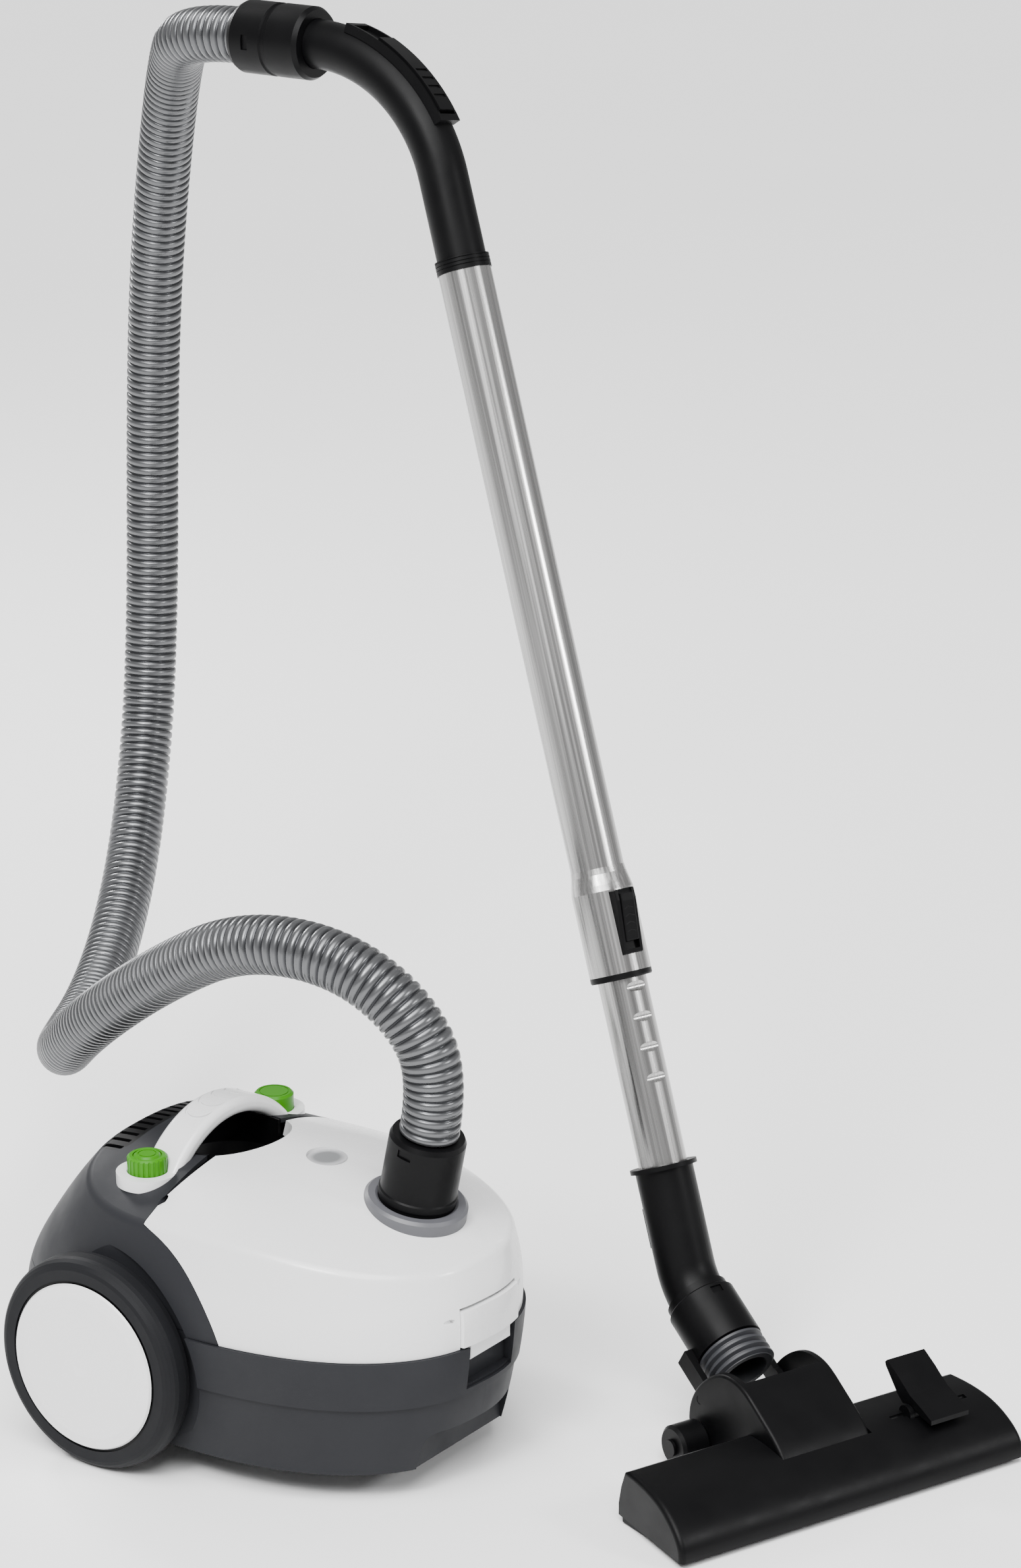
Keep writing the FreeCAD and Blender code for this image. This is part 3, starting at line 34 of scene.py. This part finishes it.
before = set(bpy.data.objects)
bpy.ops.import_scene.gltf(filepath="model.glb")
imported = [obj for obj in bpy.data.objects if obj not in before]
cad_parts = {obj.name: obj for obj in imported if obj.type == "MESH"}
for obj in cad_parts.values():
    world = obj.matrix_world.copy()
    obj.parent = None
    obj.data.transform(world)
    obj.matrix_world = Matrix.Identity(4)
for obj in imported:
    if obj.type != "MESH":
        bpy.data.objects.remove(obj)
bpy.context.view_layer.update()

# ---- where things are, metres --------------------------------------------------------------
WAND_DIRECTION = Vector((-0.36441, 0.14098, 0.92050))
NOZZLE_HEADING = math.radians(68.85)
CAMERA_AT = (1.6071, -2.2444, 1.325)
CAMERA_HEADING, CAMERA_PITCH = 35.2, 18.0
LENS, SENSOR = 71.4, 24.0
HOSE_LENGTH, HOSE_DIAMETER = 1.53, 0.038
WINDOW_AT = (-0.0615, -0.0802, 0.1900)

# the hose's route from the grip's collar to the cuff on the lid
HOSE_ROUTE = [
    (-0.3255, 0.1920, 0.8395), (-0.3785, 0.1920, 0.8395), (-0.4245, 0.2358, 0.8060), (-0.4665, 0.2718, 0.7240),
    (-0.4905, 0.2878, 0.6240), (-0.5015, 0.2948, 0.5150), (-0.5045, 0.2948, 0.4050), (-0.5015, 0.2818, 0.3000),
    (-0.4725, 0.2238, 0.2080), (-0.4205, 0.1248, 0.1620), (-0.3625, 0.0078, 0.1600), (-0.2865, -0.0462, 0.2200),
    (-0.1995, -0.0752, 0.2820), (-0.1145, -0.0962, 0.3300), (-0.0425, -0.0942, 0.3340), (0.0055, -0.0862, 0.3080),
    (0.0276, -0.0802, 0.2672), (0.0186, -0.0802, 0.2249),
]


# ---- sizes and colours a user may change ---------------------------------------------------
class VacuumSizes(bpy.types.PropertyGroup):
    """Sizes of the moulded details."""
    rib_pitch: bpy.props.FloatProperty(
        name="Rib pitch", description="Distance from one hose rib to the next", default=0.0059, unit="LENGTH")
    rib_depth: bpy.props.FloatProperty(
        name="Rib depth", description="How deep the groove between two hose ribs is", default=0.0021, unit="LENGTH")
    hose_segments: bpy.props.IntProperty(
        name="Hose segments", description="Faces round the hose", default=36, min=12)
    floor_size: bpy.props.FloatProperty(
        name="Floor size", description="Side of the floor sheet", default=16.0, unit="LENGTH")


def colour_property(name, text, value):
    """A linear colour with a default."""
    return bpy.props.FloatVectorProperty(name=name, description=text, default=value, subtype="COLOR", size=3)


class VacuumColours(bpy.types.PropertyGroup):
    """Base colours of the finishes."""
    lid: colour_property("Lid", "White moulding of lid, handle and wheel caps", (0.76, 0.762, 0.765))
    body: colour_property("Body", "Dark grey moulding of tub and housing", (0.016, 0.0165, 0.019))
    trim: colour_property("Trim", "Black moulding of grip, cuff and nozzle", (0.0018, 0.0018, 0.0021))
    buttons: colour_property("Buttons", "Green of the foot buttons", (0.035, 0.20, 0.002))
    hose: colour_property("Hose", "Silver grey of the hose ribs", (0.11, 0.112, 0.116))
    steel: colour_property("Steel", "Colour of the brushed tubes", (0.46, 0.455, 0.45))
    ring: colour_property("Inlet ring", "Mid grey of the inlet ring", (0.085, 0.086, 0.095))
    rubber: colour_property("Rubber", "Colour of tyres and bellows", (0.024, 0.025, 0.029))
    paper: colour_property("Paper", "Colour of bag and filters", (0.72, 0.66, 0.54))
    floor: colour_property("Floor", "Colour of the floor sheet", (0.97, 0.97, 0.97))


# ---- finishes ---------------------------------------------------------------------------------
class Finish:
    """A node material built up step by step around one shader."""

    def __init__(self, name, base, roughness, metallic=0.0, **sockets):
        self.material = bpy.data.materials.new(name)
        self.material.use_nodes = True
        self.nodes = self.material.node_tree.nodes
        self.links = self.material.node_tree.links
        self.shader = self.nodes["Principled BSDF"]
        self.base = (*base, 1.0)
        self.shader.inputs["Base Color"].default_value = self.base
        self.shader.inputs["Roughness"].default_value = roughness
        self.shader.inputs["Metallic"].default_value = metallic
        for key, value in sockets.items():
            self.shader.inputs[key.replace("_", " ").title().replace("Ior", "IOR")].default_value = value
        self.height = None
        self.texcoord = self.nodes.new("ShaderNodeTexCoord")

    def place(self, scale, turn=(0, 0, 0)):
        """Object coordinates turned, then stretched."""
        turned = self.nodes.new("ShaderNodeMapping")
        turned.inputs["Rotation"].default_value = turn
        self.links.new(self.texcoord.outputs["Object"], turned.inputs["Vector"])
        mapped = self.nodes.new("ShaderNodeMapping")
        mapped.inputs["Scale"].default_value = scale
        self.links.new(turned.outputs["Vector"], mapped.inputs["Vector"])
        return mapped.outputs["Vector"]

    def noise(self, scale, detail=3.0, stretch=(1, 1, 1), turn=(0, 0, 0)):
        """A noise pattern in metres."""
        node = self.nodes.new("ShaderNodeTexNoise")
        node.inputs["Scale"].default_value = scale
        node.inputs["Detail"].default_value = detail
        self.links.new(self.place(stretch, turn), node.inputs["Vector"])
        return node.outputs["Fac"]

    def ramp(self, value, low, high, colours):
        """Turn a value into a colour between two stops."""
        node = self.nodes.new("ShaderNodeValToRGB")
        node.color_ramp.elements[0].position = low
        node.color_ramp.elements[1].position = high
        node.color_ramp.elements[0].color = colours[0]
        node.color_ramp.elements[1].color = colours[1]
        self.links.new(value, node.inputs["Fac"])
        return node.outputs["Color"]

    def tint(self, value, low, high, darker, lighter=1.0):
        """Vary the base colour with a pattern."""
        shades = [tuple(min(1.0, c * f) for c in self.base[:3]) + (1.0,) for f in (darker, lighter)]
        self.links.new(self.ramp(value, low, high, shades), self.shader.inputs["Base Color"])

    def gloss(self, value, low, high):
        """Vary the roughness with a pattern."""
        node = self.nodes.new("ShaderNodeMapRange")
        node.inputs["From Min"].default_value = 0.3
        node.inputs["From Max"].default_value = 0.7
        node.inputs["To Min"].default_value = low
        node.inputs["To Max"].default_value = high
        self.links.new(value, node.inputs["Value"])
        self.links.new(node.outputs["Result"], self.shader.inputs["Roughness"])

    def bump(self, value, strength, distance):
        """Add relief from a pattern."""
        node = self.nodes.new("ShaderNodeBump")
        node.inputs["Strength"].default_value = strength
        node.inputs["Distance"].default_value = distance
        self.links.new(value, node.inputs["Height"])
        if self.height is not None:
            self.links.new(self.height, node.inputs["Normal"])
        self.height = node.outputs["Normal"]
        self.links.new(self.height, self.shader.inputs["Normal"])


def moulded(name, base, roughness, grain=0.25, grain_size=1400.0, **sockets):
    """Injection moulded plastic with a fine spark grain and faint handling marks."""
    finish = Finish(name, base, roughness, **sockets)
    wide = finish.noise(9.0, 4.0)
    finish.tint(wide, 0.3, 0.7, 0.93, 1.05)
    finish.gloss(finish.noise(40.0, 5.0), roughness - 0.05, roughness + 0.06)
    finish.bump(finish.noise(grain_size, 2.0), grain, 0.0001)
    return finish.material


def polished(name, base, roughness, **sockets):
    """Smooth plastic with a slight orange peel."""
    finish = Finish(name, base, roughness, **sockets)
    finish.tint(finish.noise(6.0, 3.0), 0.3, 0.7, 0.975, 1.01)
    finish.gloss(finish.noise(55.0, 6.0), max(0.03, roughness - 0.04), roughness + 0.05)
    finish.bump(finish.noise(260.0, 2.0), 0.06, 0.0002)
    return finish.material


def brushed(name, base, roughness, axis):
    """Metal brushed along an axis: long fine streaks in colour, gloss and relief."""
    finish = Finish(name, base, roughness, metallic=1.0)
    turn = axis.rotation_difference(Vector((0, 0, 1))).to_euler("XYZ")
    streaks = finish.noise(1.0, 4.0, (900, 900, 5), turn)
    finish.tint(streaks, 0.3, 0.7, 0.72, 1.12)
    finish.gloss(finish.noise(1.0, 3.0, (500, 500, 3), turn), roughness - 0.08, roughness + 0.12)
    finish.bump(streaks, 0.10, 0.0001)
    return finish.material


def fibrous(name, base, size):
    """Paper, felt or bristles."""
    finish = Finish(name, base, 0.9)
    fibres = finish.noise(size, 6.0, (1, 1, 0.25))
    finish.tint(fibres, 0.35, 0.65, 0.75, 1.05)
    finish.bump(fibres, 0.5, 0.0004)
    return finish.material


def ribbed_silver(name, base):
    """The hose: metallic silver on the ribs, with a painted highlight lightening the crests and painted shade
    darkening it down in the grooves.
    """
    finish = Finish(name, base, 0.30, metallic=0.75)
    depth = finish.nodes.new("ShaderNodeAttribute")
    depth.attribute_name = "groove"
    # painted light and shade by groove depth: a lighter copy of the hose colour on the crests, painted shade fading
    # to near black in the grooves
    lit = (*[min(1.0, c * 1.12) for c in base], 1.0)
    shade = finish.ramp(depth.outputs["Fac"], 0.08, 0.72, (lit, (0.030, 0.031, 0.034, 1.0)))
    finish.links.new(shade, finish.shader.inputs["Base Color"])
    finish.gloss(finish.noise(120.0, 4.0), 0.24, 0.36)
    finish.bump(finish.noise(1500.0, 2.0), 0.08, 0.0001)
    return finish.material


def indicator(name):
    """The bag-full window: a pale rim round a darker lens."""
    finish = Finish(name, (0.5, 0.5, 0.5), 0.15, coat_weight=0.4)
    away = finish.nodes.new("ShaderNodeVectorMath")
    away.operation = "DISTANCE"
    away.inputs[1].default_value = WINDOW_AT
    finish.links.new(finish.texcoord.outputs["Object"], away.inputs[0])
    pale, dark = (0.42, 0.42, 0.43, 1.0), (0.16, 0.165, 0.17, 1.0)
    shade = finish.ramp(away.outputs["Value"], 0.0078, 0.0086, (dark, pale))
    finish.links.new(shade, finish.shader.inputs["Base Color"])
    finish.gloss(finish.noise(90.0, 4.0), 0.12, 0.22)
    return finish.material


FINISHES = {
    "lid": ["dust_lid", "lid_latch", "carry_handle", "cap_right", "cap_left"],
    "body": ["lower_tub", "bumper_band", "rear_housing"],
    "trim": ["handle_well", "exhaust_grille", "hose_cuff", "hose_collar", "grip_tube", "elbow", "swivel_neck",
             "nozzle_hood", "nozzle_body", "pedal", "release_button", "tube_end_ring", "caster_fork",
             "bag_holder", "lock_housing", "sole_plate", "hub_right", "hub_left", "suction_slider", "power_switch",
             "roller_right", "roller_left", "roller_axles", "cord_outlet"],
    "ring": ["inlet_ring"],
    "window": ["indicator_window"],
    "buttons": ["power_dial", "power_button", "rewind_button"],
    "wand_steel": ["outer_tube", "inner_tube", "tube_sleeve"],
    "tyre_grey": ["tyre_right", "tyre_left", "caster_wheel"],
    "soft_black": ["lid_seal", "neck_bellows", "nozzle_duct"],
    "paper": ["dust_bag", "exhaust_filter", "motor_filter"],
    "felt": ["lint_pads"],
    "bristle": ["brush_strips"],
    "zinc": ["tub_screws", "sole_screws", "power_spring", "rewind_spring", "wheel_axles"],
    "motor_black": ["motor"],
    "reel_grey": ["cord_reel"],
    "board_green": ["control_board"],
}


def materials_for(colours):
    """One material for each finish."""
    return {
        "lid": polished("lid_white", colours.lid, 0.26, coat_weight=0.25, coat_roughness=0.12),
        "body": moulded("body_graphite", colours.body, 0.50, 0.30, specular_ior_level=0.14),
        "trim": moulded("trim_black", colours.trim, 0.42, 0.28, specular_ior_level=0.12),
        "ring": moulded("ring_grey", colours.ring, 0.42, 0.15),
        "window": indicator("window_smoke"),
        "buttons": polished("button_green", colours.buttons, 0.34, specular_ior_level=0.2),
        "wand_steel": brushed("wand_steel", colours.steel, 0.24, WAND_DIRECTION),
        "tyre_grey": moulded("tyre_graphite", tuple(c * 0.5 for c in colours.body), 0.55, 0.35, 900.0,
                                specular_ior_level=0.12),
        "soft_black": moulded("soft_black", colours.rubber, 0.5, 0.2),
        "paper": fibrous("bag_paper", colours.paper, 420.0),
        "felt": fibrous("pad_felt", (0.42, 0.03, 0.03), 900.0),
        "bristle": fibrous("bristle_black", (0.03, 0.03, 0.03), 1500.0),
        "zinc": brushed("zinc_steel", (0.62, 0.62, 0.60), 0.34, Vector((0, 0, 1))),
        "motor_black": moulded("motor_black", (0.05, 0.05, 0.055), 0.45),
        "reel_grey": moulded("reel_grey", (0.42, 0.42, 0.40), 0.45),
        "board_green": moulded("board_green", (0.03, 0.16, 0.06), 0.5),
    }


def node_object(name):
    """The object of a CAD node."""
    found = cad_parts[name]
    return found if isinstance(found, bpy.types.Object) else bpy.data.objects[name]


class VACUUM_OT_finishes(bpy.types.Operator):
    """Give every moulded and metal piece its finish"""
    bl_idname = "vacuum.finishes"
    bl_label = "Finish all parts"

    def execute(self, context):
        made = materials_for(context.scene.vacuum_colours)
        for finish, names in FINISHES.items():
            for name in names:
                obj = node_object(name)
                obj.data.materials.clear()
                obj.data.materials.append(made[finish])
        return {"FINISHED"}


# ---- hose -----------------------------------------------------------------------------------------
def route_line(points):
    """The route as one smooth curve, read back as a fine line of points."""
    curve = bpy.data.curves.new("hose_route", "CURVE")
    curve.dimensions = "3D"
    curve.resolution_u = 48
    spline = curve.splines.new("NURBS")
    spline.points.add(len(points) - 1)
    for point, at in zip(spline.points, points):
        point.co = (*at, 1.0)
    spline.order_u = 3
    spline.use_endpoint_u = True
    holder = bpy.data.objects.new("hose_route", curve)
    bpy.context.scene.collection.objects.link(holder)
    bpy.context.view_layer.update()
    mesh = bpy.data.meshes.new_from_object(holder)
    line = [vertex.co.copy() for vertex in mesh.vertices]
    bpy.data.objects.remove(holder)
    bpy.data.curves.remove(curve)
    bpy.data.meshes.remove(mesh)
    return line


def spaced(line, step):
    """The same line with points at equal distances."""
    total = sum((b - a).length for a, b in zip(line, line[1:]))
    count = round(total / step)
    step = total / count
    out, left, target = [line[0].copy()], 0.0, step
    for a, b in zip(line, line[1:]):
        span = (b - a).length
        while span > 0 and left + span >= target - 1e-9 and len(out) < count:
            out.append(a.lerp(b, (target - left) / span))
            target += step
        left += span
    out.append(line[-1].copy())
    return out, total


def frames_along(line):
    """A direction and a side vector at every point, turning as little as possible."""
    frames, side = [], None
    for i, point in enumerate(line):
        ahead = line[min(i + 1, len(line) - 1)] - line[max(i - 1, 0)]
        ahead.normalize()
        if side is None:
            side = ahead.orthogonal().normalized()
        side = (side - ahead * side.dot(ahead)).normalized()
        frames.append((point, ahead, side))
    return frames


# one rib: how far along it, and how deep below the crest, 0 to 1
RIB_SECTION = [(0.0, 1.0), (0.12, 0.45), (0.26, 0.06), (0.5, 0.0), (0.74, 0.06), (0.88, 0.45)]


class VACUUM_OT_hose(bpy.types.Operator):
    """Build the corrugated hose along its route"""
    bl_idname = "vacuum.hose"
    bl_label = "Corrugated hose"

    def execute(self, context):
        sizes = context.scene.vacuum_sizes
        line = route_line(HOSE_ROUTE)
        total = sum((b - a).length for a, b in zip(line, line[1:]))
        ribs = round(total / sizes.rib_pitch)
        points, total = spaced(line, total / (ribs * len(RIB_SECTION)))
        print("hose length", round(total, 4), "ribs", ribs)
        stations = []
        for i, (at, ahead, side) in enumerate(frames_along(points)):
            turn, depth = RIB_SECTION[i % len(RIB_SECTION)]
            slide = (turn - (i % len(RIB_SECTION)) / len(RIB_SECTION)) * total / ribs
            if i == len(points) - 1:
                slide = 0.0
            stations.append((at + ahead * slide, ahead, side, depth))
        segments = sizes.hose_segments
        crest = HOSE_DIAMETER / 2
        vertices, faces, grooves = [], [], []
        for at, ahead, side, depth in stations:
            across = ahead.cross(side)
            radius = crest - sizes.rib_depth * depth
            for k in range(segments):
                angle = 2 * math.pi * k / segments
                vertices.append(at + (side * math.cos(angle) + across * math.sin(angle)) * radius)
                # groove depth per vertex, later used to paint shade into the grooves
                grooves.append(depth)
        for i in range(len(stations) - 1):
            for k in range(segments):
                a, b = i * segments + k, i * segments + (k + 1) % segments
                faces.append((a, b, b + segments, a + segments))
        faces.append(tuple(reversed(range(segments))))
        faces.append(tuple(range((len(stations) - 1) * segments, len(stations) * segments)))
        mesh = bpy.data.meshes.new("corrugated_hose")
        mesh.from_pydata(vertices, [], faces)
        mesh.attributes.new("groove", "FLOAT", "POINT").data.foreach_set("value", grooves)
        mesh.update()
        mesh.shade_smooth()
        hose = bpy.data.objects.new("corrugated_hose", mesh)
        context.scene.collection.objects.link(hose)
        mesh.materials.append(ribbed_silver("hose_silver", context.scene.vacuum_colours.hose))
        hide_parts("suction_hose")
        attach(hose, "hose")
        return {"FINISHED"}


# ---- stage ------------------------------------------------------------------------------------------
def add_light(name, at, target, size, power):
    """A soft square light aimed at a point."""
    data = bpy.data.lights.new(name, "AREA")
    data.size = size
    data.energy = power
    light = bpy.data.objects.new(name, data)
    light.location = at
    aim = Vector(target) - Vector(at)
    light.rotation_euler = aim.to_track_quat("-Z", "Y").to_euler()
    bpy.context.scene.collection.objects.link(light)


class VACUUM_OT_camera(bpy.types.Operator):
    """Place the camera"""
    bl_idname = "vacuum.camera"
    bl_label = "Camera"

    def execute(self, context):
        data = bpy.data.cameras.new("camera")
        data.sensor_fit = "VERTICAL"
        data.sensor_height = SENSOR
        data.lens = LENS
        data.clip_end = 50
        camera = bpy.data.objects.new("camera", data)
        camera.location = CAMERA_AT
        camera.rotation_euler = (math.radians(90 - CAMERA_PITCH), 0, math.radians(CAMERA_HEADING))
        context.scene.collection.objects.link(camera)
        context.scene.camera = camera
        return {"FINISHED"}


class VACUUM_OT_stage(bpy.types.Operator):
    """Lay the floor and set soft studio lights"""
    bl_idname = "vacuum.stage"
    bl_label = "Studio"

    def execute(self, context):
        bpy.ops.object.select_all(action="DESELECT")
        size = context.scene.vacuum_sizes.floor_size
        bpy.ops.mesh.primitive_plane_add(size=size, location=(0, 0, 0))
        floor = context.object
        floor.name = "floor"
        finish = Finish("floor_paper", context.scene.vacuum_colours.floor, 0.7)
        finish.tint(finish.noise(2.0, 3.0), 0.3, 0.7, 0.985, 1.0)
        floor.data.materials.append(finish.material)
        world = bpy.data.worlds.new("studio")
        context.scene.world = world
        world.use_nodes = True
        background = world.node_tree.nodes["Background"]
        background.inputs["Color"].default_value = (1.0, 1.0, 1.0, 1.0)
        background.inputs["Strength"].default_value = 0.50
        middle = (0.0, 0.0, 0.35)
        sun = bpy.data.objects.new("sun", bpy.data.lights.new("sun", "SUN"))
        sun.data.energy = 5.0
        sun.data.angle = math.radians(50)
        sun.rotation_euler = (math.radians(28), math.radians(8), math.radians(10))
        context.scene.collection.objects.link(sun)
        add_light("key", (0.3, -2.1, 2.4), middle, 0.7, 55)
        add_light("fill", (2.6, 0.6, 1.6), middle, 0.5, 30)
        add_light("rim", (-2.2, 0.8, 1.6), middle, 0.5, 34)
        return {"FINISHED"}


# ---- panel and registration -----------------------------------------------------------------------
class VACUUM_PT_panel(bpy.types.Panel):
    """Buttons and settings in the sidebar"""
    bl_label = "Vacuum cleaner"
    bl_idname = "VACUUM_PT_panel"
    bl_space_type = "VIEW_3D"
    bl_region_type = "UI"
    bl_category = "Vacuum"

    def draw(self, context):
        for group in (context.scene.vacuum_sizes, context.scene.vacuum_colours):
            for key in group.__annotations__:
                self.layout.prop(group, key)
        for operator in OPERATORS:
            self.layout.operator(operator.bl_idname)


OPERATORS = [VACUUM_OT_camera, VACUUM_OT_hose, VACUUM_OT_finishes, VACUUM_OT_stage]
CLASSES = [VacuumSizes, VacuumColours] + OPERATORS + [VACUUM_PT_panel]


def register():
    """Add the classes and their settings to Blender."""
    for item in CLASSES:
        bpy.utils.register_class(item)
    bpy.types.Scene.vacuum_sizes = bpy.props.PointerProperty(type=VacuumSizes)
    bpy.types.Scene.vacuum_colours = bpy.props.PointerProperty(type=VacuumColours)


def unregister():
    """Take them away again."""
    del bpy.types.Scene.vacuum_colours
    del bpy.types.Scene.vacuum_sizes
    for item in reversed(CLASSES):
        bpy.utils.unregister_class(item)


def main():
    """Build everything in order and note the sizes."""
    register()
    for operator in OPERATORS:
        group, name = operator.bl_idname.split(".")
        getattr(getattr(bpy.ops, group), name)()


if __name__ == "__main__":
    main()
